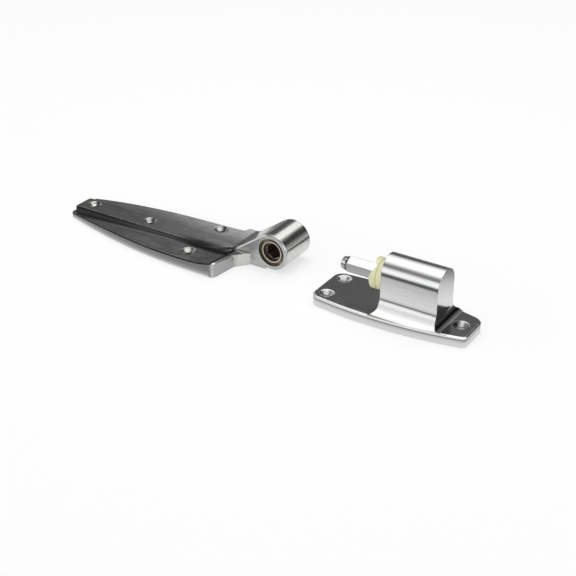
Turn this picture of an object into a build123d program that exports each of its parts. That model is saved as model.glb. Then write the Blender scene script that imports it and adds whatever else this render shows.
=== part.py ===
from build123d import *
import os
from math import cos, radians, sin, tan

# Lift-off, cam-rise door hinge for a walk-in refrigerator, its two leaves laid side by side.
# The door strap (left) carries a barrel with a sprung hexagon socket. The frame flange
# (right) carries the hexagon pin that the barrel drops on to, with a nylon cam round it.
# Both leaves lie back down on Z = 0, strap length along X, barrel axis along Y, hinge pin
# along X. The origin is the bottom centre of the pair.

# Fixing screws: No. 14 countersunk, 82 degree heads, in both leaves
SCREW_HOLE_R = 3.4
SCREW_HEAD_R = 6.5
SCREW_HEAD_ANGLE = 82
SCREW_BOSS_WALL = 4.6
CASTING_WALL = 3.2

# Door strap, measured from the barrel axis (X) and from the strap's centre line (Y)
TIP_REACH = 213.0
TIP_NEAR_HALF = 14.6
TIP_FAR_HALF = 21.3
TIP_CORNER = 2.2
TAPER_START_REACH = 60.0
TAPER_DRAWN = 153.0
HOLE_TIP_SET = 17.0
HOLE_MID_REACH = 131.0
HOLE_PAIR_REACH = 70.0
HOLE_PAIR_SPACING = 48.6
STRAP_NEAR_HALF = 39.6
STRAP_FAR_HALF = 33.0
END_WALL_REACH = 32.5
TIP_EDGE_HEIGHT = 4.4
MID_EDGE_HEIGHT = 8.2
WIDE_EDGE_HEIGHT = 9.5
CORNER_RISE = 4.5
VALLEY_RISE = 1.1
RIB_TIP_SET = 3.0
RIB_NEAR = 12.5
RIB_FAR = 9.0
RIB_CORNER = 2.0
RIB_TIP_HEIGHT = 10.8
RIB_ROOT_HEIGHT = 12.0
ARM_SLOPE = 35.0
ARM_START_REACH = 52.0
ARM_NEAR_RUN = 17.0
ARM_FAR_RUN = 6.0
CORNER_FILLET = 5.0
ARM_FOOT_BEND = 12.0
ARM_NEAR_BEND = 26.0
ARM_FAR_BEND = 16.0
EDGE_CHAMFER = 1.0
RIB_CHAMFER = 1.2
CORE_END_REACH = 18.5
WEB_WIDTH = 2.6
WEB_REACHES = (164, 100, 48)

# Barrel of the strap
BARREL_LIFT = 1.0
BARREL_LENGTH = 36.0
BARREL_WALL = 3.65
BARREL_END_WALL = 4.0
MOUTH_SET = -1.5

# Cam ring, drive sleeve and spring inside the barrel
CAM_FIT = 0.04
RUNNING_FIT = 0.08
CAM_RISE = 4.0
CAM_HALF_NOTCH = 38.0
CAM_NOTCH_ANGLE = 130.0
BARREL_CAM_SET = 2.0
BARREL_CAM_LENGTH = 14.0
CAM_RING_WALL = 2.8
SLEEVE_WALL = 2.3
SLEEVE_STEP = 0.6
SLEEVE_SET = 1.2
SLEEVE_FLANGE = 3.0
SLEEVE_RIM = 1.1
SLEEVE_LEAD_DEPTH = 3.0
FREE_GAP = 0.35
SPRING_WIRE = 2.0
SPRING_TURNS = 4

# Hexagon pin
PIN_ACROSS_FLATS = 12.7
SOCKET_CLEARANCE = 0.3
PIN_AXIS_HEIGHT = 33.1
PIN_FREE_LENGTH = 41.3
PIN_SEAT = 34.0
PIN_TIP_LENGTH = 4.1
PIN_TIP_R = 4.9
PIN_TURNED_R = 5.9
PIN_GROOVE_WIDTH = 1.6
PIN_GROOVE_R = 5.0

# Nylon cam on the pin
COLLAR_R = 12.9
COLLAR_LENGTH = 11.2
COLLAR_GROOVE_SET = 5.2
COLLAR_GROOVE_WIDTH = 0.9
COLLAR_GROOVE_DEPTH = 0.6

# Frame flange, measured from its pair of holes (X) and from its centre line (Y)
FLANGE_SHIFT_X = 67.5
FLANGE_SHIFT_Y = -7.7
FLANGE_LEFT = 11.0
FLANGE_END = 124.5
FLANGE_LEFT_HALF = 23.2
FLANGE_MID_HALF = 26.6
FLANGE_TAB_HALF = 17.2
FLANGE_MID_SET = 40.0
FLANGE_THICKNESS = 8.9
FLANGE_EDGE_HEIGHT = 7.9
FLANGE_BEVEL = 1.2
FLANGE_LEFT_ROUND = 9.0
FLANGE_TAB_ROUND = 9.0
FLANGE_TAB_CORNER = 4.5
FLANGE_PAIR_SPACING = 28.0
FLANGE_TAB_HOLE = 113.2
BOSS_SET = 48.5
BOSS_LENGTH = 49.5
BOSS_HALF_WIDTH = 14.0
BOSS_HEIGHT = 53.2
BOSS_FOOT_R = 12.5
BOSS_PIN_FOOT_R = 4.2
BOSS_END_FOOT_R = 6.5

# Places of the two leaves in the shared frame
LENGTH_ALL = TIP_REACH + FLANGE_SHIFT_X + FLANGE_END
AXIS_X = TIP_REACH - LENGTH_ALL / 2
BARREL_FAR = MOUTH_SET + BARREL_LENGTH
LINE_Y = (STRAP_NEAR_HALF - BARREL_FAR) / 2
HEX_R = PIN_ACROSS_FLATS / 2 / cos(radians(30))
SOCKET_R = (PIN_ACROSS_FLATS + SOCKET_CLEARANCE) / 2 / cos(radians(30))
SLEEVE_R = SOCKET_R + SLEEVE_WALL
BARREL_BORE_R = SLEEVE_R + CAM_RING_WALL
BARREL_R = BARREL_BORE_R + BARREL_WALL
BARREL_Z = BARREL_R + BARREL_LIFT
MOUTH_Y = LINE_Y + MOUTH_SET
END_Y = LINE_Y + BARREL_FAR
TIP_X = AXIS_X - TIP_REACH
RIB_TIP_X = TIP_X + RIB_TIP_SET
WALL_X = AXIS_X - END_WALL_REACH
TALL = BOSS_HEIGHT + 10
WIDE = 2 * STRAP_NEAR_HALF + BARREL_LENGTH
PAIR_X = AXIS_X + FLANGE_SHIFT_X
FLANGE_Y = LINE_Y + FLANGE_SHIFT_Y
BOSS_X = PAIR_X + BOSS_SET
SCREW_BOSS_R = SCREW_HOLE_R + SCREW_BOSS_WALL
HOLE_TIP_REACH = TIP_REACH - HOLE_TIP_SET
STRAP_HOLES = ((HOLE_TIP_REACH, 0), (HOLE_MID_REACH, 0),
               (HOLE_PAIR_REACH, -HOLE_PAIR_SPACING / 2), (HOLE_PAIR_REACH, HOLE_PAIR_SPACING / 2))
FLANGE_HOLES = ((0, -FLANGE_PAIR_SPACING / 2), (0, FLANGE_PAIR_SPACING / 2), (FLANGE_TAB_HOLE, 0))


def strap_x(reach):
    """X of a place on the strap, from its distance to the barrel axis."""
    return AXIS_X - reach


def taper_x(reach):
    """X of a place on the taper, whose places spread or close up with the strap's length."""
    spread = (TIP_REACH - TAPER_START_REACH) / TAPER_DRAWN
    return strap_x(TAPER_START_REACH + (reach - TAPER_START_REACH) * spread)


def tier_side(rise, drop=0):
    """Side profile of the lower tier in an XZ plane, its end risen by rise and its top lowered by drop."""
    top = Spline(
        (TIP_X + drop, TIP_EDGE_HEIGHT - drop),
        (taper_x(126), MID_EDGE_HEIGHT - drop),
        (strap_x(HOLE_PAIR_REACH - 6), WIDE_EDGE_HEIGHT - drop),
        (strap_x(46), WIDE_EDGE_HEIGHT + 0.32 * rise - drop),
        (WALL_X, WIDE_EDGE_HEIGHT + rise - drop),
        (strap_x(18), WIDE_EDGE_HEIGHT + 1.05 * rise - drop),
    )
    Polyline(top @ 1, (strap_x(18), 0), (TIP_X + drop, 0), top @ 0)


def strap_outline(inset=0):
    """Plan outline of the strap's lower tier, drawn in by inset, inside a BuildLine."""
    near = LINE_Y - STRAP_NEAR_HALF + inset
    far = LINE_Y + STRAP_FAR_HALF - inset
    end_y = END_Y - inset
    tip = TIP_X + inset
    near_edge = Spline(
        (tip + TIP_CORNER, LINE_Y - TIP_NEAR_HALF - 0.3 * TIP_CORNER + inset),
        (taper_x(188), near + 0.45 * STRAP_NEAR_HALF),
        (taper_x(152), near + 0.24 * STRAP_NEAR_HALF),
        (taper_x(101), near + 0.048 * STRAP_NEAR_HALF),
        (taper_x(60), near),
        tangents=[(1, -0.32), (1, 0)],
    )
    Polyline(near_edge @ 1, (strap_x(END_WALL_REACH + 1 + inset), near),
             (strap_x(END_WALL_REACH - 2 + inset), LINE_Y - 13), (strap_x(21 + inset / 2), MOUTH_Y + inset),
             (strap_x(10), MOUTH_Y + 8), (strap_x(10), end_y), (strap_x(44), end_y))
    far_edge = Spline(
        (strap_x(44), end_y),
        (taper_x(60), far),
        (taper_x(106), far - 0.03 * STRAP_FAR_HALF),
        (taper_x(166), far - 0.15 * STRAP_FAR_HALF),
        (tip + TIP_CORNER, LINE_Y + TIP_FAR_HALF - inset),
    )
    Polyline(far_edge @ 1, (tip, LINE_Y + TIP_FAR_HALF - TIP_CORNER - inset),
             (tip, LINE_Y - TIP_NEAR_HALF + TIP_CORNER + inset), near_edge @ 0)


def countersink_depth():
    """Depth of the head's cone below the surface."""
    return (SCREW_HEAD_R - SCREW_HOLE_R) / tan(radians(SCREW_HEAD_ANGLE / 2))


# Lower tier of the strap: its top lies level beside the rib and sweeps up to the near corner
with BuildPart() as shoulder:
    with BuildSketch(Plane.XZ.offset(STRAP_NEAR_HALF + 1 - LINE_Y)):
        with BuildLine():
            tier_side(CORNER_RISE)
        make_face()
    with BuildSketch(Plane.XZ.offset(RIB_NEAR - CASTING_WALL - LINE_Y)) as valley:
        with BuildLine():
            tier_side(VALLEY_RISE)
        make_face()
    loft(ruled=True)
    extrude(valley.sketch, amount=-WIDE)
    with BuildSketch():
        with BuildLine():
            strap_outline()
        make_face()
    extrude(amount=TALL, mode=Mode.INTERSECT)
    near_corner = (shoulder.edges().filter_by(Axis.Z)
                   .sort_by_distance((WALL_X, LINE_Y - STRAP_NEAR_HALF, 0))[0])
    fillet(near_corner, CORNER_FILLET)
    rims = [shoulder.edges().sort_by_distance(place)[0] for place in (
        (taper_x(101), LINE_Y - STRAP_NEAR_HALF, MID_EDGE_HEIGHT + 1),
        (taper_x(106), LINE_Y + STRAP_FAR_HALF, MID_EDGE_HEIGHT + 1))]
    chamfer(rims, EDGE_CHAMFER)

# Raised rib, arm and barrel: one side profile cut to the plan of the rib and the arm
with BuildPart() as rib_arm:
    with BuildSketch(Plane.XZ.offset(WIDE)) as arm_side:
        tangent_x = AXIS_X - BARREL_R * sin(radians(ARM_SLOPE))
        tangent_z = BARREL_Z + BARREL_R * cos(radians(ARM_SLOPE))
        foot_x = tangent_x - (tangent_z - RIB_ROOT_HEIGHT) / tan(radians(ARM_SLOPE))
        with BuildLine():
            Polyline((RIB_TIP_X, 0), (RIB_TIP_X, RIB_TIP_HEIGHT), (strap_x(62), RIB_ROOT_HEIGHT),
                     (foot_x, RIB_ROOT_HEIGHT), (tangent_x, tangent_z), (AXIS_X, BARREL_Z),
                     (strap_x(6), 0), close=True)
        make_face()
        bend = arm_side.vertices().sort_by_distance((foot_x, RIB_ROOT_HEIGHT, 0))[0]
        fillet(bend, ARM_FOOT_BEND)
        with Locations((AXIS_X, BARREL_Z)):
            Circle(BARREL_R)
    extrude(amount=-2 * WIDE)
    with BuildSketch() as arm_plan:
        with BuildLine():
            Polyline((RIB_TIP_X, LINE_Y - RIB_NEAR + RIB_CORNER), (RIB_TIP_X + RIB_CORNER, LINE_Y - RIB_NEAR),
                     (strap_x(ARM_START_REACH + 1), LINE_Y - RIB_NEAR),
                     (strap_x(ARM_START_REACH + 1 - ARM_NEAR_RUN), MOUTH_Y),
                     (AXIS_X + 2 * BARREL_R, MOUTH_Y), (AXIS_X + 2 * BARREL_R, END_Y),
                     (strap_x(ARM_START_REACH - ARM_FAR_RUN), END_Y),
                     (strap_x(ARM_START_REACH + 4), LINE_Y + RIB_FAR),
                     (RIB_TIP_X + RIB_CORNER, LINE_Y + RIB_FAR), (RIB_TIP_X, LINE_Y + RIB_FAR - RIB_CORNER),
                     close=True)
        make_face()
        bends = arm_plan.vertices().filter_by_position(
            Axis.X, strap_x(ARM_START_REACH + 5), strap_x(ARM_START_REACH - ARM_NEAR_RUN))
        near_bends, far_bends = bends.sort_by(Axis.Y)[:2], bends.sort_by(Axis.Y)[2:]
        fillet(near_bends, ARM_NEAR_BEND)
        fillet(far_bends, ARM_FAR_BEND)
    extrude(amount=TALL, mode=Mode.INTERSECT)
    rib_mid = (RIB_TIP_X + strap_x(62)) / 2
    rib_rim = [rib_arm.edges().sort_by_distance(place)[0] for place in (
        (rib_mid, LINE_Y - RIB_NEAR, RIB_ROOT_HEIGHT),
        (RIB_TIP_X + RIB_CORNER / 2, LINE_Y - RIB_NEAR + RIB_CORNER / 2, RIB_TIP_HEIGHT),
        (RIB_TIP_X, LINE_Y, RIB_TIP_HEIGHT),
        (RIB_TIP_X + RIB_CORNER / 2, LINE_Y + RIB_FAR - RIB_CORNER / 2, RIB_TIP_HEIGHT),
        (rib_mid, LINE_Y + RIB_FAR, RIB_ROOT_HEIGHT))]
    chamfer(rib_rim, RIB_CHAMFER)

# Hollow back of the strap: the same two profiles, lowered and drawn in by the wall
with BuildPart() as tier_core:
    with BuildSketch(Plane.XZ.offset(WIDE)):
        with BuildLine():
            tier_side(VALLEY_RISE, CASTING_WALL)
        make_face()
    extrude(amount=-2 * WIDE)
    with BuildSketch():
        with BuildLine():
            strap_outline(CASTING_WALL)
        make_face()
    extrude(amount=TALL, mode=Mode.INTERSECT)

with BuildPart() as arm_core:
    with BuildSketch(Plane.XZ.offset(WIDE)):
        with BuildLine():
            core_top = RIB_ROOT_HEIGHT - CASTING_WALL
            core_tip = RIB_TIP_X + CASTING_WALL
            Polyline((core_tip, 0), (core_tip, RIB_TIP_HEIGHT - CASTING_WALL),
                     (strap_x(62), core_top), (foot_x + 4, core_top),
                     (strap_x(CORE_END_REACH),
                      core_top + (strap_x(CORE_END_REACH) - foot_x - 4) * tan(radians(ARM_SLOPE))),
                     (strap_x(CORE_END_REACH), 0), close=True)
        make_face()
    extrude(amount=-2 * WIDE)
    with BuildSketch():
        add(arm_plan.sketch)
        offset(amount=-CASTING_WALL, kind=Kind.INTERSECTION)
    extrude(amount=TALL, mode=Mode.INTERSECT)

with BuildPart() as strap_core:
    add(tier_core.part)
    add(arm_core.part)
    with Locations((AXIS_X, LINE_Y, 0)):
        Box(2 * CORE_END_REACH, 2 * WIDE, 2 * TALL, mode=Mode.SUBTRACT)
    for reach, side in STRAP_HOLES:
        with Locations((strap_x(reach), LINE_Y + side, 0)):
            Cylinder(SCREW_BOSS_R, 2 * TALL, mode=Mode.SUBTRACT)
    for reach in WEB_REACHES:
        with Locations((strap_x(reach), LINE_Y, 0)):
            Box(WEB_WIDTH, 2 * WIDE, 2 * TALL, mode=Mode.SUBTRACT)

with BuildPart() as door_strap:
    add(shoulder.part)
    add(rib_arm.part)
    add(strap_core.part, mode=Mode.SUBTRACT)
    # Barrel bore, blind at the far end
    with BuildSketch(Plane.XZ.offset(-MOUTH_Y)):
        with Locations((AXIS_X, BARREL_Z)):
            Circle(BARREL_BORE_R)
    extrude(amount=-(BARREL_LENGTH - BARREL_END_WALL), mode=Mode.SUBTRACT)
    for reach, side in STRAP_HOLES[:2]:
        run = (strap_x(reach) - RIB_TIP_X) / (strap_x(62) - RIB_TIP_X)
        top = RIB_TIP_HEIGHT + run * (RIB_ROOT_HEIGHT - RIB_TIP_HEIGHT)
        with Locations((strap_x(reach), LINE_Y + side, top)):
            CounterSinkHole(SCREW_HOLE_R, SCREW_HEAD_R, counter_sink_angle=SCREW_HEAD_ANGLE)
    for reach, side in STRAP_HOLES[2:]:
        with Locations((strap_x(reach), LINE_Y + side, WIDE_EDGE_HEIGHT - 0.1)):
            CounterSinkHole(SCREW_HOLE_R, SCREW_HEAD_R, counter_sink_angle=SCREW_HEAD_ANGLE)

# Nylon cam ring pressed into the barrel's mouth, with one ridge across its face
CREST_Y = MOUTH_Y + BARREL_CAM_SET
lean = radians(CAM_NOTCH_ANGLE)
notch_half = COLLAR_R * sin(radians(CAM_HALF_NOTCH))
with BuildPart() as barrel_cam:
    with BuildSketch(Plane.XZ.offset(-CREST_Y)):
        with Locations((AXIS_X, BARREL_Z)):
            Circle(BARREL_BORE_R - CAM_FIT)
            Circle(SLEEVE_R + RUNNING_FIT, mode=Mode.SUBTRACT)
    extrude(amount=-BARREL_CAM_LENGTH)
    across = Plane((AXIS_X, CREST_Y, BARREL_Z), x_dir=(sin(lean), 0, -cos(lean)),
                   z_dir=(cos(lean), 0, sin(lean)))
    with BuildSketch(across):
        with BuildLine():
            Polyline((0, 0), (notch_half, CAM_RISE), (2 * BARREL_R, CAM_RISE), (2 * BARREL_R, -1),
                     (-2 * BARREL_R, -1), (-2 * BARREL_R, CAM_RISE), (-notch_half, CAM_RISE), close=True)
        make_face()
    extrude(amount=2 * BARREL_R, both=True, mode=Mode.SUBTRACT)

# Steel drive sleeve: turns in the cam ring, takes the pin in its hexagon socket
SLEEVE_Y = MOUTH_Y + SLEEVE_SET
BORE_END_Y = END_Y - BARREL_END_WALL
sleeve_length = BORE_END_Y - FREE_GAP - SLEEVE_Y
cam_back = CREST_Y + BARREL_CAM_LENGTH
with BuildPart() as drive_sleeve:
    with BuildSketch(Plane.XZ.offset(-SLEEVE_Y)):
        with Locations((AXIS_X, BARREL_Z)):
            Circle(SLEEVE_R)
    extrude(amount=-(cam_back + FREE_GAP - SLEEVE_Y))
    with BuildSketch(Plane.XZ.offset(-SLEEVE_Y)):
        with Locations((AXIS_X, BARREL_Z)):
            Circle(SLEEVE_R - SLEEVE_STEP)
    extrude(amount=-sleeve_length)
    with BuildSketch(Plane.XZ.offset(-(BORE_END_Y - FREE_GAP - SLEEVE_FLANGE))):
        with Locations((AXIS_X, BARREL_Z)):
            Circle(BARREL_BORE_R - FREE_GAP)
    extrude(amount=-SLEEVE_FLANGE)
    with BuildSketch(Plane.XZ.offset(-SLEEVE_Y)):
        with Locations((AXIS_X, BARREL_Z)):
            Circle(SLEEVE_R - SLEEVE_RIM)
    extrude(amount=-SLEEVE_LEAD_DEPTH, mode=Mode.SUBTRACT)
    with BuildSketch(Plane.XZ.offset(-SLEEVE_Y)):
        with Locations((AXIS_X, BARREL_Z)):
            RegularPolygon(SOCKET_R, 6, rotation=30)
    extrude(amount=-sleeve_length, mode=Mode.SUBTRACT)

# Closing spring of square wire, coiled round the sleeve behind the cam ring
spring_start = cam_back + SPRING_WIRE / 2 + 0.1
spring_end = BORE_END_Y - FREE_GAP - SLEEVE_FLANGE - FREE_GAP - SPRING_WIRE / 2
with BuildPart() as closing_spring:
    coil_r = BARREL_BORE_R - 0.2 - SPRING_WIRE / 2
    with BuildLine() as coil:
        Helix((spring_end - spring_start) / SPRING_TURNS, spring_end - spring_start, coil_r,
              center=(AXIS_X, spring_start, BARREL_Z), direction=(0, 1, 0))
    start = coil.line @ 0
    with BuildSketch(Plane(origin=start, x_dir=start - Vector(AXIS_X, spring_start, BARREL_Z),
                           z_dir=coil.line % 0)):
        Rectangle(SPRING_WIRE, SPRING_WIRE)
    sweep(path=coil.line, is_frenet=True)

# Frame flange: boat shaped plate with a bevelled rim
def flange_outline():
    """Plan outline of the flange, symmetric about its centre line, drawn inside a BuildLine."""
    left = PAIR_X - FLANGE_LEFT
    right = PAIR_X + FLANGE_END
    far_edge = ThreePointArc((left, FLANGE_Y + FLANGE_LEFT_HALF - 1),
                             (PAIR_X + FLANGE_MID_SET, FLANGE_Y + FLANGE_MID_HALF),
                             (right, FLANGE_Y + FLANGE_TAB_HALF - 1))
    near_edge = ThreePointArc((left, FLANGE_Y - FLANGE_LEFT_HALF + 1),
                              (PAIR_X + FLANGE_MID_SET, FLANGE_Y - FLANGE_MID_HALF),
                              (right, FLANGE_Y - FLANGE_TAB_HALF + 1))
    Line(far_edge @ 0, near_edge @ 0)
    Line(far_edge @ 1, near_edge @ 1)


with BuildPart() as flange_plate:
    with BuildSketch() as plate_plan:
        with BuildLine():
            flange_outline()
        make_face()
        fillet(plate_plan.vertices().group_by(Axis.X)[0], FLANGE_LEFT_ROUND)
        fillet(plate_plan.vertices().group_by(Axis.X)[-1].sort_by(Axis.Y)[-1], FLANGE_TAB_ROUND)
        fillet(plate_plan.vertices().sort_by_distance(
            (PAIR_X + FLANGE_END, FLANGE_Y - FLANGE_TAB_HALF + 1))[0], FLANGE_TAB_CORNER)
    extrude(amount=FLANGE_THICKNESS)
    chamfer(flange_plate.faces().sort_by(Axis.Z)[-1].edges(), FLANGE_THICKNESS - FLANGE_EDGE_HEIGHT,
            FLANGE_BEVEL)

# Boss for the pin: arched top, straight sides and swept feet, cut to the plate's outline
with BuildPart() as pin_boss:
    with BuildSketch(Plane.YZ.offset(BOSS_X - BOSS_PIN_FOOT_R)):
        with BuildLine():
            arch_z = BOSS_HEIGHT - BOSS_HALF_WIDTH
            foot_z = FLANGE_THICKNESS + BOSS_FOOT_R
            foot_y = BOSS_HALF_WIDTH + BOSS_FOOT_R
            for side in (-1, 1):
                Line((FLANGE_Y + side * foot_y, 0), (FLANGE_Y + side * foot_y, FLANGE_THICKNESS))
                RadiusArc((FLANGE_Y + side * foot_y, FLANGE_THICKNESS),
                          (FLANGE_Y + side * BOSS_HALF_WIDTH, foot_z), side * BOSS_FOOT_R)
                Line((FLANGE_Y + side * BOSS_HALF_WIDTH, foot_z), (FLANGE_Y + side * BOSS_HALF_WIDTH, arch_z))
            ThreePointArc((FLANGE_Y - BOSS_HALF_WIDTH, arch_z), (FLANGE_Y, BOSS_HEIGHT),
                          (FLANGE_Y + BOSS_HALF_WIDTH, arch_z))
            Line((FLANGE_Y - foot_y, 0), (FLANGE_Y + foot_y, 0))
        make_face()
    extrude(amount=BOSS_PIN_FOOT_R + BOSS_LENGTH + BOSS_END_FOOT_R)
    boss_end = BOSS_X + BOSS_LENGTH
    with BuildSketch(Plane.XZ.offset(WIDE)):
        with BuildLine():
            pin_toe = BOSS_X - BOSS_PIN_FOOT_R
            Polyline((boss_end + BOSS_END_FOOT_R, FLANGE_THICKNESS), (boss_end + BOSS_END_FOOT_R, 0),
                     (pin_toe, 0), (pin_toe, FLANGE_THICKNESS))
            RadiusArc((BOSS_X, FLANGE_THICKNESS + BOSS_PIN_FOOT_R), (pin_toe, FLANGE_THICKNESS),
                      BOSS_PIN_FOOT_R)
            Polyline((BOSS_X, FLANGE_THICKNESS + BOSS_PIN_FOOT_R), (BOSS_X, TALL), (boss_end, TALL),
                     (boss_end, FLANGE_THICKNESS + BOSS_END_FOOT_R))
            RadiusArc((boss_end + BOSS_END_FOOT_R, FLANGE_THICKNESS),
                      (boss_end, FLANGE_THICKNESS + BOSS_END_FOOT_R), BOSS_END_FOOT_R)
        make_face()
    extrude(amount=-2 * WIDE, mode=Mode.INTERSECT)
    with BuildSketch():
        add(plate_plan.sketch)
    extrude(amount=TALL, mode=Mode.INTERSECT)

with BuildPart() as frame_flange:
    add(flange_plate.part)
    add(pin_boss.part)
    # Hollow back, with bosses left round the screws and a pocket up into the boss
    with BuildSketch() as back_plan:
        add(plate_plan.sketch)
        offset(amount=-CASTING_WALL, kind=Kind.INTERSECTION)
        for set_x, side in FLANGE_HOLES:
            with Locations((PAIR_X + set_x, FLANGE_Y + side)):
                Circle(SCREW_BOSS_R, mode=Mode.SUBTRACT)
        with Locations((BOSS_X, FLANGE_Y), (boss_end, FLANGE_Y)):
            Rectangle(WEB_WIDTH + 3, WIDE, mode=Mode.SUBTRACT)
    extrude(amount=FLANGE_THICKNESS - CASTING_WALL, mode=Mode.SUBTRACT)
    with BuildSketch():
        with Locations((BOSS_X + BOSS_LENGTH / 2, FLANGE_Y)):
            RectangleRounded(BOSS_LENGTH - 4 * CASTING_WALL, 2 * (BOSS_HALF_WIDTH - CASTING_WALL), 3)
    extrude(amount=PIN_AXIS_HEIGHT - HEX_R - 2 * CASTING_WALL, mode=Mode.SUBTRACT)
    with BuildSketch(Plane.YZ.offset(BOSS_X)):
        with Locations((FLANGE_Y, PIN_AXIS_HEIGHT)):
            RegularPolygon(HEX_R, 6, rotation=30)
    extrude(amount=PIN_SEAT, mode=Mode.SUBTRACT)
    for set_x, side in FLANGE_HOLES:
        with Locations((PAIR_X + set_x, FLANGE_Y + side, FLANGE_THICKNESS)):
            CounterSinkHole(SCREW_HOLE_R, SCREW_HEAD_R, counter_sink_angle=SCREW_HEAD_ANGLE)

# Hexagon steel pin with a turned, tapered end and a retaining groove
TIP_PIN_X = BOSS_X - PIN_FREE_LENGTH
with BuildPart() as hinge_pin:
    with BuildSketch(Plane.YZ.offset(TIP_PIN_X)):
        with Locations((FLANGE_Y, PIN_AXIS_HEIGHT)):
            RegularPolygon(HEX_R, 6, rotation=30)
    extrude(amount=PIN_FREE_LENGTH + PIN_SEAT)
    with BuildSketch(Plane.XZ.offset(-FLANGE_Y)):
        groove_x = TIP_PIN_X + PIN_TIP_LENGTH
        with BuildLine():
            Polyline((TIP_PIN_X, PIN_AXIS_HEIGHT), (TIP_PIN_X, PIN_AXIS_HEIGHT + PIN_TIP_R),
                     (groove_x, PIN_AXIS_HEIGHT + PIN_TURNED_R),
                     (groove_x, PIN_AXIS_HEIGHT + PIN_GROOVE_R),
                     (groove_x + PIN_GROOVE_WIDTH, PIN_AXIS_HEIGHT + PIN_GROOVE_R),
                     (groove_x + PIN_GROOVE_WIDTH, PIN_AXIS_HEIGHT + PIN_TURNED_R),
                     (groove_x + PIN_GROOVE_WIDTH + 0.6, PIN_AXIS_HEIGHT + HEX_R + 0.1),
                     (BOSS_X + PIN_SEAT, PIN_AXIS_HEIGHT + HEX_R + 0.1),
                     (BOSS_X + PIN_SEAT, PIN_AXIS_HEIGHT), close=True)
        make_face()
    revolve(axis=Axis((TIP_PIN_X, FLANGE_Y, PIN_AXIS_HEIGHT), (1, 0, 0)), mode=Mode.INTERSECT)

# Nylon cam collar, slid over the pin against the boss, with a matching notch across its face
COLLAR_X = BOSS_X - COLLAR_LENGTH
with BuildPart() as flange_cam:
    with BuildSketch(Plane.YZ.offset(COLLAR_X)):
        with Locations((FLANGE_Y, PIN_AXIS_HEIGHT)):
            Circle(COLLAR_R)
            RegularPolygon(SOCKET_R, 6, rotation=30, mode=Mode.SUBTRACT)
    extrude(amount=COLLAR_LENGTH)
    with BuildSketch(Plane.YZ.offset(COLLAR_X + COLLAR_GROOVE_SET)):
        with Locations((FLANGE_Y, PIN_AXIS_HEIGHT)):
            Circle(COLLAR_R + 1)
            Circle(COLLAR_R - COLLAR_GROOVE_DEPTH, mode=Mode.SUBTRACT)
    extrude(amount=COLLAR_GROOVE_WIDTH, mode=Mode.SUBTRACT)
    notch_line = Plane((COLLAR_X, FLANGE_Y, PIN_AXIS_HEIGHT), x_dir=(0, -sin(lean), cos(lean)),
                       z_dir=(0, cos(lean), sin(lean)))
    with BuildSketch(notch_line):
        with BuildLine():
            Polyline((-notch_half, 0), (0, CAM_RISE), (notch_half, 0), (notch_half, -1),
                     (-notch_half, -1), close=True)
        make_face()
    extrude(amount=2 * COLLAR_R, both=True, mode=Mode.SUBTRACT)

os.makedirs("parts", exist_ok=True)
door_strap.part.label = "door_strap"
export_step(door_strap.part, "parts/door_strap.step")
barrel_cam.part.label = "barrel_cam"
export_step(barrel_cam.part, "parts/barrel_cam.step")
drive_sleeve.part.label = "drive_sleeve"
export_step(drive_sleeve.part, "parts/drive_sleeve.step")
closing_spring.part.label = "closing_spring"
export_step(closing_spring.part, "parts/closing_spring.step")
frame_flange.part.label = "frame_flange"
export_step(frame_flange.part, "parts/frame_flange.step")
hinge_pin.part.label = "hinge_pin"
export_step(hinge_pin.part, "parts/hinge_pin.step")
flange_cam.part.label = "flange_cam"
export_step(flange_cam.part, "parts/flange_cam.step")
for piece in (door_strap, barrel_cam, drive_sleeve, closing_spring, frame_flange, hinge_pin, flange_cam):
    size = piece.part.bounding_box().size
    print(f"{piece.part.label}: {piece.part.volume:.0f} mm3, {size.X:.1f} x {size.Y:.1f} x {size.Z:.1f} mm")
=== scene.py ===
"""Dresses the lift-off, cam-rise fridge door hinge for its studio picture.

The two leaves lie side by side on a pale floor. Each class below finishes one
sub-assembly; main() builds them in order and reports every piece.

X runs along the hinge from the strap's tip to the flange's tab, Y runs from the
near edges to the far ones, and Z is height. A span names the value at which a
look starts and the value at which it is full; it may run either way.
"""

import logging
import math
from dataclasses import dataclass, field
from enum import Enum

import bmesh
import bpy
from mathutils import Matrix, Vector

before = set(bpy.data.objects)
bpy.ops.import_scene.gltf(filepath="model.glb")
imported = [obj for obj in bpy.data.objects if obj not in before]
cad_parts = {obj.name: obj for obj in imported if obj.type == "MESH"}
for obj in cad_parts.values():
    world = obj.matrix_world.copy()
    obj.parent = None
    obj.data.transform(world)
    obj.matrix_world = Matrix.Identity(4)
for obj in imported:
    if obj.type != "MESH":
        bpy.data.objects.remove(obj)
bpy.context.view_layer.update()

log = logging.getLogger("door_hinge")

SENSOR_MM = 36.0

# Sockets that share their names with others of the same node are known by number.
MIXED_COLOURS = (6, 7)
MIXED_RESULT = 2
MIXED_SHADERS = (1, 2)

Socket = bpy.types.NodeSocket
Colour = tuple[float, float, float]
Span = tuple[float, float]
Levels = tuple[tuple[float, float], ...]
Shade = tuple[Socket, Socket | float, Socket | float]

WHITE: Colour = (1.0, 1.0, 1.0)


class Slot(Enum):
    """The record's material slots."""

    CASTING = "casting"
    PIN_STEEL = "pin_steel"
    SLEEVE_STEEL = "sleeve_steel"
    SPRING_STEEL = "spring_steel"
    CAM_NYLON = "cam_nylon"


@dataclass(frozen=True)
class Noise:
    """Settings of one noise pattern.

    Attributes:
        scale: How fine it is, per metre.
        detail: How many finer layers it has.
        roughness: How strong the finer layers are.
    """

    scale: float
    detail: float
    roughness: float = 0.5


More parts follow.
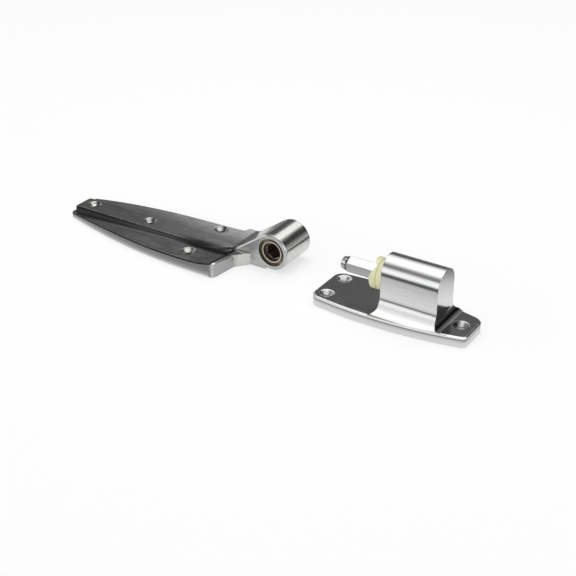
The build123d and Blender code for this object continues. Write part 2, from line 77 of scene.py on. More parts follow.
@dataclass(frozen=True)
class Surface:
    """Where a point of a piece lies and which way it faces.

    Attributes:
        x: Its place along the hinge, in metres.
        y: Its place across the hinge, in metres.
        z: Its height, in metres.
        right: How far it faces along X, from -1 to 1.
        near: How far it faces the near edge, against Y, from -1 to 1.
        up: How far it faces up, from -1 to 1.
    """

    x: Socket
    y: Socket
    z: Socket
    right: Socket
    near: Socket
    up: Socket


def grey(level: float) -> Colour:
    """Gives the grey of a level."""
    return level, level, level


class NodeMaker:
    """Adds shader nodes to one material or world and links them."""

    def __init__(self, tree: bpy.types.NodeTree) -> None:
        """Empties the tree and keeps it.

        Args:
            tree: The node tree to fill.
        """
        self.tree = tree
        tree.nodes.clear()

    def add(self, kind: str, **inputs: object) -> bpy.types.Node:
        """Adds a node and sets its inputs by name.

        Args:
            kind: The node's type name.
            **inputs: Input names with spaces written as underscores.

        Returns:
            The new node.
        """
        node = self.tree.nodes.new(kind)
        for name, value in inputs.items():
            node.inputs[name.replace("_", " ")].default_value = value
        return node

    def link(self, source: Socket, target: Socket) -> None:
        """Links one output to one input."""
        self.tree.links.new(source, target)

    def math(self, operation: str, *terms: Socket | float) -> Socket:
        """Adds one step of arithmetic.

        Args:
            operation: The node's operation.
            *terms: Outputs or plain numbers.

        Returns:
            The result's socket.
        """
        node = self.add("ShaderNodeMath")
        node.operation = operation
        for socket, term in zip(node.inputs, terms):
            if isinstance(term, Socket):
                self.link(term, socket)
            else:
                socket.default_value = term
        return node.outputs["Value"]

    def product(self, first: Socket, *others: Socket | float) -> Socket:
        """Multiplies a value by all the others.

        Args:
            first: The value.
            *others: Outputs or plain numbers.

        Returns:
            The result's socket.
        """
        result = first
        for other in others:
            result = self.math("MULTIPLY", result, other)
        return result

    def step(self, value: Socket, span: Span) -> Socket:
        """Rises smoothly from 0 at a span's start to 1 at its end.

        Args:
            value: What is compared with the span.
            span: Its start and its end.

        Returns:
            The result's socket.
        """
        node = self.add("ShaderNodeMapRange", From_Min=span[0], From_Max=span[1])
        node.interpolation_type = "SMOOTHSTEP"
        self.link(value, node.inputs["Value"])
        return node.outputs["Result"]

    def mask(self, *limits: tuple[Socket, Span]) -> Socket:
        """Finds where every value is past its span.

        Args:
            *limits: Pairs of a value and its span.

        Returns:
            The socket of the mask, from 0 to 1.
        """
        return self.product(*(self.step(value, span) for value, span in limits))

    def split(self, vector: Socket) -> tuple[Socket, Socket, Socket]:
        """Splits a vector.

        Args:
            vector: The vector's socket.

        Returns:
            The sockets of its X, Y and Z.
        """
        node = self.add("ShaderNodeSeparateXYZ")
        self.link(vector, node.inputs["Vector"])
        return node.outputs["X"], node.outputs["Y"], node.outputs["Z"]

    def surface(self, place: bpy.types.Node) -> Surface:
        """Reads where a point lies and which way it faces.

        Args:
            place: The texture coordinates.

        Returns:
            The place and the facing.
        """
        x, y, z = self.split(place.outputs["Object"])
        right, far, up = self.split(place.outputs["Normal"])
        return Surface(x, y, z, right, self.product(far, -1.0), up)

    def blend(self, first: Socket | Colour, second: Socket | Colour, share: Socket) -> Socket:
        """Mixes two colours by a share.

        Args:
            first: The colour where the share is 0, as an output or plain.
            second: The colour where the share is 1, as an output or plain.
            share: How much of the second there is.

        Returns:
            The mixed colour's socket.
        """
        node = self.add("ShaderNodeMix")
        node.data_type = "RGBA"
        for colour, number in zip((first, second), MIXED_COLOURS):
            if isinstance(colour, Socket):
                self.link(colour, node.inputs[number])
            else:
                node.inputs[number].default_value = (*colour, 1.0)
        self.link(share, node.inputs["Factor"])
        return node.outputs[MIXED_RESULT]

    def ramp(self, value: Socket, levels: Levels) -> Socket:
        """Turns a value into a grey through a few set levels.

        Args:
            value: What the ramp reads.
            levels: Pairs of a position and its grey level.

        Returns:
            The colour's socket.
        """
        node = self.add("ShaderNodeValToRGB")
        steps = node.color_ramp
        while len(steps.elements) < len(levels):
            steps.elements.new(1.0)
        for element, (position, level) in zip(steps.elements, levels):
            element.position = position
            element.color = (*grey(level), 1.0)
        self.link(value, node.inputs["Fac"])
        return node.outputs["Color"]

    def noise(self, place: Socket, pattern: Noise) -> Socket:
        """Adds a noise pattern.

        Args:
            place: What it follows.
            pattern: Its settings.

        Returns:
            The socket of its value.
        """
        node = self.add("ShaderNodeTexNoise", Scale=pattern.scale, Detail=pattern.detail,
                        Roughness=pattern.roughness)
        self.link(place, node.inputs["Vector"])
        return node.outputs["Fac"]

    def bump(self, height: Socket, distance: float, normal: Socket | None = None) -> Socket:
        """Tilts the surface as a height over it would.

        Args:
            height: What the bump reads.
            distance: Metres for each unit of that height.
            normal: The normal that it starts from, or None for the mesh's own.

        Returns:
            The socket of the tilted normal.
        """
        node = self.add("ShaderNodeBump", Strength=1.0, Distance=distance)
        self.link(height, node.inputs["Height"])
        if normal is not None:
            self.link(normal, node.inputs["Normal"])
        return node.outputs["Normal"]

    def mix_shaders(self, first: Socket, second: Socket, share: Socket) -> Socket:
        """Mixes two shaders by a share.

        Args:
            first: The shader where the share is 0.
            second: The shader where the share is 1.
            share: How much of the second there is.

        Returns:
            The mixed shader's socket.
        """
        node = self.add("ShaderNodeMixShader")
        self.link(share, node.inputs["Fac"])
        for shader, number in zip((first, second), MIXED_SHADERS):
            self.link(shader, node.inputs[number])
        return node.outputs["Shader"]

    def output(self, kind: str, shader: Socket) -> None:
        """Sends a shader to an output node of the kind."""
        node = self.add(kind)
        self.link(shader, node.inputs["Surface"])


def new_material(name: str) -> tuple[bpy.types.Material, NodeMaker]:
    """Starts a material.

    Args:
        name: The material's name.

    Returns:
        The material and the maker of its nodes.
    """
    material = bpy.data.materials.new(name)
    material.use_nodes = True
    return material, NodeMaker(material.node_tree)


@dataclass(frozen=True)
class BrushedMetal:
    """Satin metal with fine drawn lines, soft clouding, eased edges and painted shade in its inner corners.

    Attributes:
        name: The material's name.
        dark: Colour in the lines' valleys.
        light: Colour on the lines' crests.
        roughness: Lowest and highest roughness.
        stretch: How much finer the lines are across X, Y and Z, per metre.
        lines: The lines' pattern, before it is stretched.
        line_contrast: Span of the pattern between the valleys' colour and the crests'.
        clouds: The clouding's pattern.
        line_share: How much of the wear follows the lines; the rest follows the clouds.
        wear: Span of the wear between the lowest and the highest roughness.
        bump: Height of the lines in metres.
        edge: Radius of the eased edges in metres.
        edge_samples: Rays that find those edges.
        corner: Colour of the painted shade in the inner corners.
        corner_shade_reach: How far the painted shade spreads from the corners, in metres.
        corner_shade_open: Span of openness between a corner in full painted shade and the plain metal.
        corner_shade_samples: Rays that find those corners.
        rim_height: Height up to which the cast rims lean in, in metres.
        rim_lean: Slope of the lean at that height.
        rim_curve: Power with which the lean's height grows.
    """

    name: str
    dark: Colour
    light: Colour
    roughness: Span
    stretch: tuple[float, float, float]
    lines: Noise = Noise(1.0, 5.0, 0.7)
    line_contrast: Span = (0.30, 0.70)
    clouds: Noise = Noise(160.0, 3.0, 0.55)
    line_share: float = 0.6
    wear: Span = (0.35, 0.65)
    bump: float = 0.000002
    edge: float = 0.0007
    edge_samples: int = 4
    corner: Colour = (0.06, 0.06, 0.06)
    corner_shade_reach: float = 0.005
    corner_shade_open: Span = (0.60, 0.94)
    corner_shade_samples: int = 8
    rim_height: float = 0.0085
    rim_lean: float = 0.215
    rim_curve: float = 1.35

    def make(self) -> bpy.types.Material:
        """Builds the shader.

        Returns:
            The finished material.
        """
        material, maker = new_material(self.name)
        place = maker.add("ShaderNodeTexCoord")
        drawn = maker.add("ShaderNodeMapping", Scale=self.stretch)
        maker.link(place.outputs["Object"], drawn.inputs["Vector"])
        lines = maker.noise(drawn.outputs["Vector"], self.lines)
        clouds = maker.noise(place.outputs["Object"], self.clouds)

        tone = maker.blend(self.dark, self.light, maker.step(lines, self.line_contrast))
        # Painted shade in the inner corners, darker where the mesh closes in round a point.
        corner = maker.add("ShaderNodeAmbientOcclusion", Distance=self.corner_shade_reach)
        corner.only_local = True
        corner.samples = self.corner_shade_samples
        tone = maker.blend(self.corner, tone, maker.step(corner.outputs["AO"], self.corner_shade_open))
        colour, sheen_and_roughening, dish = self.shade(maker, place, tone)

        worn = maker.math("ADD", maker.product(lines, self.line_share),
                          maker.product(clouds, 1.0 - self.line_share))
        rough = maker.add("ShaderNodeMapRange", From_Min=self.wear[0], From_Max=self.wear[1],
                          To_Min=self.roughness[0], To_Max=self.roughness[1])
        maker.link(worn, rough.inputs["Value"])

        eased = maker.add("ShaderNodeBevel", Radius=self.edge)
        eased.samples = self.edge_samples
        _, _, z = maker.split(place.outputs["Object"])
        height = maker.math("MINIMUM", z, self.rim_height)
        growth = maker.math("POWER", maker.math("DIVIDE", height, self.rim_height), self.rim_curve)
        lean = maker.product(growth, -self.rim_height * self.rim_lean / self.rim_curve)
        crown = maker.bump(maker.math("ADD", lean, dish), 1.0, eased.outputs["Normal"])

        shader = maker.add("ShaderNodeBsdfPrincipled", Metallic=1.0)
        maker.link(colour, shader.inputs["Base Color"])
        maker.link(maker.math("ADD", rough.outputs["Result"], sheen_and_roughening), shader.inputs["Roughness"])
        maker.link(maker.bump(lines, self.bump, crown), shader.inputs["Normal"])
        maker.output("ShaderNodeOutputMaterial", shader.outputs["BSDF"])
        return material

    def shade(self, maker: NodeMaker, place: bpy.types.Node, colour: Socket) -> Shade:
        """Gives the plain metal, on which a casting paints light and shade.

        Args:
            maker: The material's nodes; not used here.
            place: Its texture coordinates; not used here.
            colour: The metal's plain colour.

        Returns:
            The colour, how much rougher the metal is, and the height of the dish in its top.
        """
        return colour, 0.0, 0.0


@dataclass(frozen=True)
class StrapCasting(BrushedMetal):
    """The door strap's metal, with painted shade on its rims, walls, near side, valley, mouth and end wall
    and a painted highlight on the rib's top.

    Attributes:
        holes: Places of the screw holes, whose cones are left out of the painted shade, in metres.
        hole_radius: How far round each place that holds, in metres.
        strap_x: Span from the barrel's mouth to the arm's near wall, in metres.
        slant: Span of the facing up, and of the facing near, at a slanted rim.
        upright: Span of the facing near at a side wall.
        wall: Grey of the painted shade on the near rim and in the valley before the rib.
        rib_y: Span in which the rib's near wall stands, in metres.
        wall_start: Distance from the frame's middle to the tip's end of the rib's wall, in metres.
        wall_shade_levels: Grey of the painted shade on the rib's wall along that distance, from the tip.
        side_shade_levels: Grey of the painted shade on the near side by its height, as a share of
            side_height.
        side_height: Height of the highest of those levels, in metres.
        valley_x: Span along the strap in which the valley's painted shade grows, in metres.
        valley_near: Span at the valley's near side, in metres.
        valley_far: Span at the valley's far side, in metres.
        valley_z: Span of height below the valley's upper edge, in metres.
        level: Span of the facing up on the rib's top.
        top_y: Span at the near edge of the rib's top, in metres.
        highlight_grey: Grey of the painted highlight on the rib's top toward its wide end and its far side.
        highlight_share: How far that painted highlight covers the metal.
        highlight_x: Span toward the wide end in which the painted highlight grows, in metres.
        highlight_y: Span toward the far side in which the painted highlight grows, in metres.
        highlight_gain: How strong the painted highlight gets toward the wide end and toward the far side.
        highlight_rough: How much rougher the metal is under the painted highlight.
        mouth: Grey of the painted shade on the flat round the barrel's mouth.
        mouth_shade_share: How far that painted shade covers the metal.
        mouth_rub: How much rougher that flat is.
        end: Grey of the painted shade on the end wall.
        end_right: Span of the facing along X at the end wall.
        end_x: Span of X from the barrel to the end wall, in metres.
        dish_y: Where the top starts to rise toward its far side, in metres.
        dish_far: How fast that rise grows, per metre.
        dish_x: Where the top starts to fall toward its wide end, in metres.
        dish_wide: How fast that fall grows, per metre.
    """

    holes: tuple[tuple[float, float], ...] = (
        (-0.1855, 0.00255), (-0.1205, 0.00255), (-0.0595, -0.02175), (-0.0595, 0.02685))
    hole_radius: float = 0.0068
    strap_x: Span = (-0.024, -0.028)
    slant: Span = (0.25, 0.45)
    upright: Span = (0.5, 0.9)
    wall: float = 0.05
    rib_y: Span = (-0.0112, -0.0104)
    wall_start: float = 0.2
    wall_shade_levels: Levels = (
        (0.0, 0.03), (0.28, 0.045), (0.42, 0.085), (0.66, 0.085), (0.78, 0.02), (1.0, 0.02))
    side_shade_levels: Levels = ((0.0, 0.75), (0.2, 0.34), (0.5, 0.20), (1.0, 0.17))
    side_height: float = 0.010
    valley_x: Span = (-0.092, -0.058)
    valley_near: Span = (-0.0168, -0.0118)
    valley_far: Span = (0.001, -0.009)
    valley_z: Span = (0.0155, 0.0125)
    level: Span = (0.85, 0.95)
    top_y: Span = (-0.014, -0.006)
    highlight_grey: float = 0.98
    highlight_share: float = 0.8
    highlight_x: Span = (-0.17, -0.04)
    highlight_y: Span = (0.006, 0.038)
    highlight_gain: tuple[float, float] = (0.6, 0.8)
    highlight_rough: float = 0.03
    mouth: float = 0.42
    mouth_shade_share: float = 0.85
    mouth_rub: float = 0.12
    end: float = 0.36
    end_right: Span = (0.6, 0.9)
    end_x: Span = (-0.017, -0.020)
    dish_y: float = 0.008
    dish_far: float = 1.5
    dish_x: float = -0.14
    dish_wide: float = 0.19

    def shade(self, maker: NodeMaker, place: bpy.types.Node, colour: Socket) -> Shade:
        """Paints shade on the rims, the rib's wall, the near side, the valley, the mouth's flat and the end
        wall, and a highlight on the rib's top.

        Args:
            maker: The material's nodes.
            place: Its texture coordinates.
            colour: The metal's plain colour.

        Returns:
            The colour, how much rougher the metal is, and the height of the dish in its top.
        """
        surface = maker.surface(place)
        strap = maker.step(surface.x, self.strap_x)
        upright = maker.step(surface.near, self.upright)
        rim = self.find_rims(maker, surface)

        # Painted shade on the near side, by its height, and on the near rims and the rib's wall.
        side = maker.ramp(maker.math("DIVIDE", surface.z, self.side_height), self.side_shade_levels)
        shaded = maker.blend(colour, side, maker.product(upright, strap))
        shaded = maker.blend(shaded, grey(self.wall), maker.product(rim, strap))
        along = maker.math("DIVIDE", maker.math("ADD", surface.x, self.wall_start), self.wall_start)
        wall_shade = maker.product(maker.math("MAXIMUM", rim, upright), maker.step(surface.y, self.rib_y), strap)
        shaded = maker.blend(shaded, maker.ramp(along, self.wall_shade_levels), wall_shade)

        # Painted highlight on the rib's top, toward its wide end and its far side.
        sheen_and_roughening = maker.product(self.find_painted_highlight(maker, surface), strap)
        shaded = maker.blend(shaded, grey(self.highlight_grey), maker.product(sheen_and_roughening, self.highlight_share))
        # Painted shade in the valley before the rib.
        valley = maker.mask((surface.x, self.valley_x), (surface.y, self.valley_near),
                            (surface.y, self.valley_far), (surface.z, self.valley_z))
        shaded = maker.blend(shaded, grey(self.wall), maker.product(valley, strap))

        # Painted shade on the flat round the barrel's mouth and on the end wall.
        mouth_shade = maker.product(upright, maker.math("SUBTRACT", 1.0, strap))
        shaded = maker.blend(shaded, grey(self.mouth), maker.product(mouth_shade, self.mouth_shade_share))
        end_wall_shade = maker.mask((surface.right, self.end_right), (surface.x, self.end_x))
        shaded = maker.blend(shaded, grey(self.end), end_wall_shade)
        rougher = maker.math("ADD", maker.product(sheen_and_roughening, self.highlight_rough), maker.product(mouth_shade, self.mouth_rub))
        return shaded, rougher, maker.product(self.find_dish(maker, surface), strap)

    def find_rims(self, maker: NodeMaker, surface: Surface) -> Socket:
        """Finds the slanted near rims and leaves out the cones of the screw holes.

        Args:
            maker: The material's nodes.
            surface: The place and the facing.

        Returns:
            The socket of the mask.
        """
        rim = maker.mask((surface.near, self.slant), (surface.up, self.slant))
        for x, y in self.holes:
            along = maker.math("SUBTRACT", surface.x, x)
            across = maker.math("SUBTRACT", surface.y, y)
            away = maker.math("ADD", maker.product(along, along), maker.product(across, across))
            rim = maker.product(rim, maker.math("GREATER_THAN", away, self.hole_radius ** 2))
        return rim

    def find_painted_highlight(self, maker: NodeMaker, surface: Surface) -> Socket:
        """Finds where a highlight is painted on the rib's top, toward its wide end and its far side.

        Args:
            maker: The material's nodes.
            surface: The place and the facing.

        Returns:
            The socket of the mask.
        """
        top = maker.mask((surface.up, self.level), (surface.y, self.top_y))
        toward_wide = maker.product(maker.step(surface.x, self.highlight_x), self.highlight_gain[0])
        toward_far = maker.product(maker.step(surface.y, self.highlight_y), self.highlight_gain[1])
        return maker.product(top, maker.math("MINIMUM", maker.math("ADD", toward_wide, toward_far), 1.0))

    def find_dish(self, maker: NodeMaker, surface: Surface) -> Socket:
        """Works out the slight dish of the top, which no mesh holds.

        Args:
            maker: The material's nodes.
            surface: The place and the facing.

        Returns:
            The socket of its height.
        """
        far = maker.math("MAXIMUM", maker.math("SUBTRACT", surface.y, self.dish_y), 0.0)
        wide = maker.math("MAXIMUM", maker.math("SUBTRACT", surface.x, self.dish_x), 0.0)
        return maker.math("SUBTRACT", maker.product(far, far, self.dish_far),
                          maker.product(wide, wide, self.dish_wide))


@dataclass(frozen=True)
class FlangeCasting(BrushedMetal):
    """The frame flange's metal, with painted shade on the plate's and the tab's tops and beside the tab, a
    painted highlight on the foot before the boss, and painted highlight and shade along the rim.

    Attributes:
        low_z: Span of height below which the plate's and the tab's looks hold, in metres.
        level: Span of the facing up on a top.
        plate: Grey of the painted shade on the plate's top.
        plate_shade_share: How far that painted shade covers the metal.
        tab: Grey of the painted shade on the tab's top.
        tab_x: Span in which the boss ends and the tab starts, in metres.
        hollow_shade_grey: Grey of the painted shade on the concave foot beside the tab.
        corner_right: Span of the facing along X on that foot.
        corner_up: Span of the facing up on that foot.
        corner_start: Span along X in which that foot starts, in metres.
        corner_end: Span along X in which that foot ends, in metres.
        foot: Grey of the painted highlight on the foot before the boss.
        foot_rub: How much rougher that foot is.
        foot_near: Span of the facing near on that foot.
        foot_up: Span of the facing up on that foot.
        foot_z: Span of height in which that foot starts, in metres.
        rim_light_and_shade_levels: Grey of the painted highlight and shade on the rim by its height, as a
            share of rim_top.
        rim_top: Height of the highest of those levels, in metres.
        rim_z: Span of height in which the rim starts, from above, in metres.
        rim_up: Span of the facing up at the rim.
    """

    low_z: Span = (0.020, 0.012)
    level: Span = (0.85, 0.95)
    plate: float = 0.45
    plate_shade_share: float = 0.8
    tab: float = 0.36
    tab_x: Span = (0.174, 0.178)
    hollow_shade_grey: float = 0.07
    corner_right: Span = (0.08, 0.2)
    corner_up: Span = (0.05, 0.15)
    corner_start: Span = (0.164, 0.167)
    corner_end: Span = (0.190, 0.186)
    foot: float = 0.86
    foot_rub: float = 0.40
    foot_near: Span = (0.08, 0.2)
    foot_up: Span = (0.03, 0.12)
    foot_z: Span = (0.0081, 0.0085)
    rim_light_and_shade_levels: Levels = (
        (0.0, 0.68), (0.45, 0.60), (0.70, 0.46), (0.80, 0.22), (0.88, 0.24), (0.93, 0.75), (1.0, 0.75))
    rim_top: float = 0.0079
    rim_z: Span = (0.0083, 0.0079)
    rim_up: Span = (0.35, 0.15)

    def shade(self, maker: NodeMaker, place: bpy.types.Node, colour: Socket) -> Shade:
        """Paints shade on the tops of the plate and the tab and beside the tab, a highlight on the foot,
        and light and shade along the rim.

        Args:
            maker: The material's nodes.
            place: Its texture coordinates.
            colour: The metal's plain colour.

        Returns:
            The colour, how much rougher the metal is, and the height of the dish in its top.
        """
        surface = maker.surface(place)
        low = (surface.z, self.low_z)
        # Painted shade on the plate's and the tab's tops.
        top = maker.mask(low, (surface.up, self.level))
        shaded = maker.blend(colour, grey(self.plate), maker.product(top, self.plate_shade_share))
        tab_shade = maker.product(top, maker.step(surface.x, self.tab_x))
        shaded = maker.blend(shaded, grey(self.tab), tab_shade)

        # Painted highlight on the foot before the boss.
        foot_highlight = maker.mask(low, (surface.near, self.foot_near), (surface.up, self.foot_up),
                           (surface.z, self.foot_z))
        shaded = maker.blend(shaded, grey(self.foot), foot_highlight)
        # Painted shade in the hollow beside the tab.
        hollow_shade = maker.mask(low, (surface.right, self.corner_right), (surface.up, self.corner_up),
                            (surface.x, self.corner_start), (surface.x, self.corner_end))
        shaded = maker.blend(shaded, grey(self.hollow_shade_grey), hollow_shade)

        # Painted highlight and shade in lines along the rim.
        rim_light_and_shade = maker.ramp(maker.math("DIVIDE", surface.z, self.rim_top), self.rim_light_and_shade_levels)
        rim = maker.mask((surface.z, self.rim_z), (surface.up, self.rim_up))
        return maker.blend(shaded, rim_light_and_shade, rim), maker.product(foot_highlight, self.foot_rub), 0.0


@dataclass(frozen=True)
class DrawnHexagon(BrushedMetal):
    """The pin's steel, with painted shade that makes its near flat greyer than the flat above it.

    Attributes:
        flat: Grey of the painted shade on the near flat.
        flat_shade_share: How far that painted shade covers the metal.
        flat_near: Span of the facing near at that flat.
    """

    flat: float = 0.38
    flat_shade_share: float = 0.9
    flat_near: Span = (0.80, 0.92)

    def shade(self, maker: NodeMaker, place: bpy.types.Node, colour: Socket) -> Shade:
        """Paints shade on the near flat.

        Args:
            maker: The material's nodes.
            place: Its texture coordinates.
            colour: The metal's plain colour.

        Returns:
            The colour, how much rougher the metal is, and the height of the dish in its top.
        """
        # Painted shade on the near flat.
        near = maker.step(maker.surface(place).near, self.flat_near)
        return maker.blend(colour, grey(self.flat), maker.product(near, self.flat_shade_share)), 0.0, 0.0


@dataclass(frozen=True)
class MouldedNylon:
    """Nylon, slightly waxy, with a little dirt in its tone.

    Attributes:
        name: The material's name.
        colour: Its clean colour.
        shade: Its colour where there is dirt.
        roughness: Its roughness.
        dirt: The dirt's pattern.
        grain: The pattern of the fine grain that the mould left.
        grain_height: Height of that grain in metres.
    """

    name: str
    colour: Colour
    shade: Colour
    roughness: float = 0.42
    dirt: Noise = Noise(160.0, 5.0, 0.6)
    grain: Noise = Noise(2200.0, 2.0)
    grain_height: float = 0.00001

    def make(self) -> bpy.types.Material:
        """Builds the shader.

        Returns:
            The finished material.
        """
        material, maker = new_material(self.name)
        place = maker.add("ShaderNodeTexCoord").outputs["Object"]
        shader = maker.add("ShaderNodeBsdfPrincipled", Roughness=self.roughness)
        tone = maker.blend(self.shade, self.colour, maker.noise(place, self.dirt))
        maker.link(tone, shader.inputs["Base Color"])
        grained = maker.bump(maker.noise(place, self.grain), self.grain_height)
        maker.link(grained, shader.inputs["Normal"])
        maker.output("ShaderNodeOutputMaterial", shader.outputs["BSDF"])
        return material


@dataclass
class Finishes:
    """Every finish of the hinge, made once.

    Attributes:
        strap: Plated metal of the door strap.
        flange: Plated metal of the frame flange.
        pin: Bright steel of the hexagon pin.
        sleeve: Turned steel of the drive sleeve.
        spring: Oiled wire of the closing spring.
        nylon: Pale nylon of the collar on the pin.
        shade_painted: Nylon of the cam in the barrel, painted dark brown as the shade inside the barrel's
            mouth.
    """

    strap: bpy.types.Material = field(init=False)
    flange: bpy.types.Material = field(init=False)
    pin: bpy.types.Material = field(init=False)
    sleeve: bpy.types.Material = field(init=False)
    spring: bpy.types.Material = field(init=False)
    nylon: bpy.types.Material = field(init=False)
    shade_painted: bpy.types.Material = field(init=False)

    def __post_init__(self) -> None:
        """Makes the materials."""
        self.strap = StrapCasting(
            name="satin plated strap", dark=(0.50, 0.51, 0.49), light=(0.70, 0.71, 0.69),
            roughness=(0.11, 0.22), stretch=(16.0, 900.0, 900.0),
            corner_shade_reach=0.0022, rim_lean=0.12).make()
        self.flange = FlangeCasting(
            name="satin plated flange", dark=(0.60, 0.61, 0.60), light=(0.70, 0.71, 0.70),
            roughness=(0.14, 0.18), stretch=(30.0, 1100.0, 1100.0),
            bump=0.000001, rim_lean=0.09).make()
        self.pin = DrawnHexagon(
            name="bright drawn steel", dark=(0.56, 0.57, 0.56), light=(0.68, 0.69, 0.68),
            roughness=(0.14, 0.24), stretch=(60.0, 1500.0, 1500.0)).make()
        self.sleeve = BrushedMetal(
            name="turned steel", dark=(0.44, 0.36, 0.30), light=(0.62, 0.54, 0.47),
            roughness=(0.28, 0.42), stretch=(900.0, 60.0, 900.0)).make()
        self.spring = BrushedMetal(
            name="oiled spring wire", dark=(0.12, 0.12, 0.13), light=(0.24, 0.24, 0.25),
            roughness=(0.30, 0.40), stretch=(900.0, 900.0, 900.0)).make()
        self.nylon = MouldedNylon(
            name="natural nylon", colour=(0.76, 0.75, 0.50), shade=(0.58, 0.57, 0.33)).make()
        # The barrel's cam is painted dark brown as the shade inside the barrel's mouth.
        self.shade_painted = MouldedNylon(
            name="greased nylon", colour=(0.26, 0.22, 0.14), shade=(0.14, 0.11, 0.07)).make()


@dataclass
class Leaf:
    """A group of CAD pieces with their finishes.

    Attributes:
        title: What the log calls it.
        pieces: Node name, record slot and finish of each piece.
    """

    title: str
    pieces: list[tuple[str, Slot, bpy.types.Material]]

    def dress(self) -> None:
        """Gives each node its finish."""
        for node, slot, material in self.pieces:
            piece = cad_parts[node]
            piece.data.materials.clear()
            piece.data.materials.append(material)
            log.info("%s: %s dressed in %s", self.title, node, material.name)


@dataclass(frozen=True)
class Lamp:
    """A soft rectangular lamp that faces the middle of the floor.

    Attributes:
        name: The lamp's name.
        place: Its position in metres.
        size: Its width and height in metres.
        power: Its power in watts.
    """

    name: str
    place: tuple[float, float, float]
    size: tuple[float, float]
    power: float

    def hang(self) -> None:
        """Hangs the lamp."""
        data = bpy.data.lights.new(self.name, "AREA")
        data.shape = "RECTANGLE"
        data.size, data.size_y = self.size
        data.energy = self.power
        lamp = bpy.data.objects.new(self.name, data)
        turn = (-Vector(self.place)).to_track_quat("-Z", "Y").to_matrix().to_4x4()
        lamp.matrix_world = Matrix.Translation(self.place) @ turn
        bpy.context.scene.collection.objects.link(lamp)


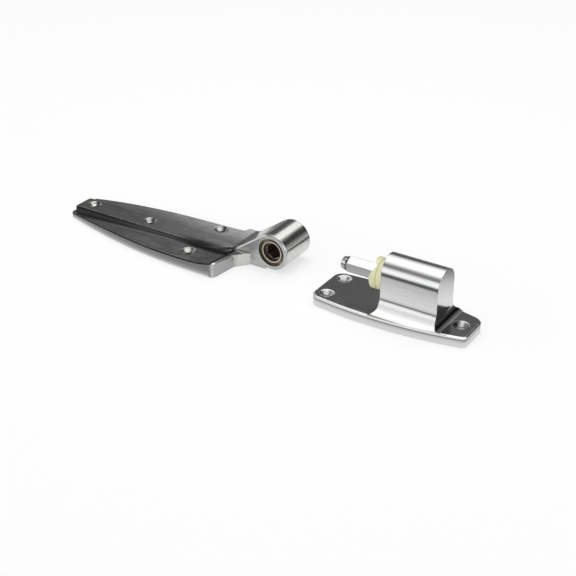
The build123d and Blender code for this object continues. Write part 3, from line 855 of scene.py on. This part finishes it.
@dataclass(frozen=True)
class Studio:
    """Camera, floor, lamp and surroundings.

    The camera sees plain white round the floor; the surroundings light the hinge and show
    in its reflections. Their levels are brightnesses by the Z of a direction, from the
    horizon at 0 to straight up at 1, and their spans are of a direction's X, Y and Z.

    Attributes:
        camera_place: Camera position in metres.
        camera_aim: Unit vector along the view.
        camera_roll: Turn about the view, in degrees.
        lens_mm: Focal length on a sensor of SENSOR_MM.
        clip_start: Nearest distance that the camera sees, in metres.
        floor_half: Half the floor's side, in metres.
        floor_colour: The floor's own colour.
        floor_lift: How much of the floor's look glows by itself.
        sheet_half_length: Half the length of the bright strip under the hinge, in metres.
        sheet_reach: Distance from that strip at which the last floor level stands, in metres.
        sheet_levels: Brightness of the floor in reflections, by distance from the strip.
        front_levels: Brightness in front of the hinge.
        back_levels: Brightness behind it.
        right_levels: Brightness behind it, at the far right.
        corner_levels: Brightness behind it, between the middle and the right.
        panel_level: Brightness of the soft box behind it.
        panel_z: Span of Z over which that box starts.
        panel_left: Span of X over which that box starts.
        panel_right: Span of X over which that box ends, from its right.
        corner_x: Span of X between the back and the corner.
        right_x: Span of X between the corner and the right.
        behind_y: Span of Y between the front and the back.
        lamp: The lamp overhead.
    """

    camera_place: tuple[float, float, float] = (0.50889, -0.74206, 0.49013)
    camera_aim: tuple[float, float, float] = (-0.47288, 0.73029, -0.49302)
    camera_roll: float = 0.04
    lens_mm: float = 75.0
    clip_start: float = 0.01
    floor_half: float = 6.0
    floor_colour: Colour = (0.90, 0.90, 0.90)
    floor_lift: float = 0.6
    sheet_half_length: float = 0.16
    sheet_reach: float = 1.5
    sheet_levels: Levels = (
        (0.0, 1.0), (0.035, 1.0), (0.052, 0.75), (0.068, 0.25), (0.08, 0.1), (0.14, 0.1),
        (0.24, 0.3), (0.4, 0.8), (1.0, 1.0))
    front_levels: Levels = (
        (0.0, 1.2), (0.07, 1.35), (0.26, 1.5), (0.44, 1.1), (0.58, 0.30), (0.74, 0.26),
        (0.83, 0.9), (0.90, 1.5), (1.0, 1.55))
    back_levels: Levels = (
        (0.0, 0.14), (0.10, 0.14), (0.29, 0.11), (0.49, 0.11), (0.56, 0.25), (0.62, 0.5),
        (0.745, 1.1), (0.85, 1.5), (1.0, 1.55))
    right_levels: Levels = (
        (0.0, 0.5), (0.115, 0.45), (0.25, 0.25), (0.33, 0.07), (0.47, 0.05), (0.56, 0.08),
        (0.64, 0.5), (0.75, 1.4), (1.0, 1.55))
    corner_levels: Levels = (
        (0.0, 0.12), (0.25, 0.08), (0.47, 0.05), (0.56, 0.08), (0.64, 0.5), (0.75, 1.4), (1.0, 1.55))
    panel_level: float = 1.45
    panel_z: Span = (0.54, 0.62)
    panel_left: Span = (-0.38, -0.26)
    panel_right: Span = (0.30, 0.12)
    corner_x: Span = (0.05, 0.20)
    right_x: Span = (0.46, 0.58)
    behind_y: Span = (-0.15, 0.15)
    lamp: Lamp = Lamp(name="overhead_lamp", place=(0.0, 0.1, 1.4), size=(0.9, 0.7), power=4.0)

    def add_camera(self) -> None:
        """Puts the camera where the picture was taken from."""
        data = bpy.data.cameras.new("studio_camera")
        data.sensor_width = SENSOR_MM
        data.lens = self.lens_mm
        data.clip_start = self.clip_start
        camera = bpy.data.objects.new("studio_camera", data)
        turn = Vector(self.camera_aim).to_track_quat("-Z", "Y").to_matrix().to_4x4()
        roll = Matrix.Rotation(math.radians(self.camera_roll), 4, "Z")
        camera.matrix_world = Matrix.Translation(self.camera_place) @ turn @ roll
        bpy.context.scene.collection.objects.link(camera)
        bpy.context.scene.camera = camera

    def make_floor_material(self) -> bpy.types.Material:
        """Builds the floor's shader; in reflections it falls off away from the hinge.

        Returns:
            The finished material.
        """
        material, maker = new_material("pale floor")
        path = maker.add("ShaderNodeLightPath").outputs
        mirrored = path["Is Glossy Ray"]
        x, y, _ = maker.split(maker.add("ShaderNodeTexCoord").outputs["Object"])
        side = maker.math("SUBTRACT", maker.math("ABSOLUTE", x), self.sheet_half_length)
        beyond = maker.math("MAXIMUM", side, 0.0)
        away = maker.math("SQRT", maker.math("ADD", maker.product(beyond, beyond), maker.product(y, y)))
        falloff = maker.ramp(maker.math("DIVIDE", away, self.sheet_reach), self.sheet_levels)

        matte = maker.add("ShaderNodeBsdfDiffuse")
        maker.link(maker.blend(self.floor_colour, falloff, mirrored), matte.inputs["Color"])
        glow = maker.add("ShaderNodeEmission", Strength=1.0)
        maker.link(maker.blend(WHITE, falloff, mirrored), glow.inputs["Color"])
        seen = maker.math("MAXIMUM", path["Is Camera Ray"],
                          maker.math("MAXIMUM", mirrored, path["Is Transmission Ray"]))
        mixed = maker.mix_shaders(matte.outputs["BSDF"], glow.outputs["Emission"],
                                  maker.product(seen, self.floor_lift))
        maker.output("ShaderNodeOutputMaterial", mixed)
        return material

    def add_floor(self) -> None:
        """Lays the pale floor."""
        mesh = bpy.data.meshes.new("studio_floor")
        shape = bmesh.new()
        bmesh.ops.create_grid(shape, x_segments=1, y_segments=1, size=self.floor_half)
        shape.to_mesh(mesh)
        shape.free()
        floor = bpy.data.objects.new("studio_floor", mesh)
        bpy.context.scene.collection.objects.link(floor)
        mesh.materials.append(self.make_floor_material())

    def add_surroundings(self) -> None:
        """Surrounds the hinge with soft boxes overhead and at two sides, and dark flags between them."""
        world = bpy.data.worlds.new("studio_room")
        bpy.context.scene.world = world
        world.use_nodes = True
        maker = NodeMaker(world.node_tree)
        x, y, z = maker.split(maker.add("ShaderNodeTexCoord").outputs["Generated"])
        front, back, corner, right = (
            maker.ramp(z, levels)
            for levels in (self.front_levels, self.back_levels, self.corner_levels, self.right_levels))
        behind = maker.blend(back, corner, maker.step(x, self.corner_x))
        behind = maker.blend(behind, right, maker.step(x, self.right_x))
        panel = maker.mask((z, self.panel_z), (x, self.panel_left), (x, self.panel_right))
        behind = maker.blend(behind, grey(self.panel_level), panel)
        around = maker.blend(front, behind, maker.step(y, self.behind_y))

        room = maker.add("ShaderNodeBackground", Strength=1.0)
        maker.link(around, room.inputs["Color"])
        white = maker.add("ShaderNodeBackground", Color=(*WHITE, 1.0), Strength=1.0)
        path = maker.add("ShaderNodeLightPath")
        mixed = maker.mix_shaders(room.outputs["Background"], white.outputs["Background"],
                                  path.outputs["Is Camera Ray"])
        maker.output("ShaderNodeOutputWorld", mixed)

    def build(self) -> None:
        """Builds the whole studio."""
        self.add_camera()
        self.add_floor()
        self.lamp.hang()
        self.add_surroundings()


def main() -> None:
    """Builds and dresses everything in order."""
    logging.basicConfig(level=logging.INFO, format="%(name)s: %(message)s")
    bpy.context.scene.view_settings.view_transform = "Standard"
    Studio().build()
    finishes = Finishes()
    Leaf("strap", [
        ("door_strap", Slot.CASTING, finishes.strap),
        ("barrel_cam", Slot.CAM_NYLON, finishes.shade_painted),
        ("drive_sleeve", Slot.SLEEVE_STEEL, finishes.sleeve),
        ("closing_spring", Slot.SPRING_STEEL, finishes.spring),
    ]).dress()
    Leaf("flange", [
        ("frame_flange", Slot.CASTING, finishes.flange),
        ("hinge_pin", Slot.PIN_STEEL, finishes.pin),
        ("flange_cam", Slot.CAM_NYLON, finishes.nylon),
    ]).dress()


if __name__ == "__main__":
    main()
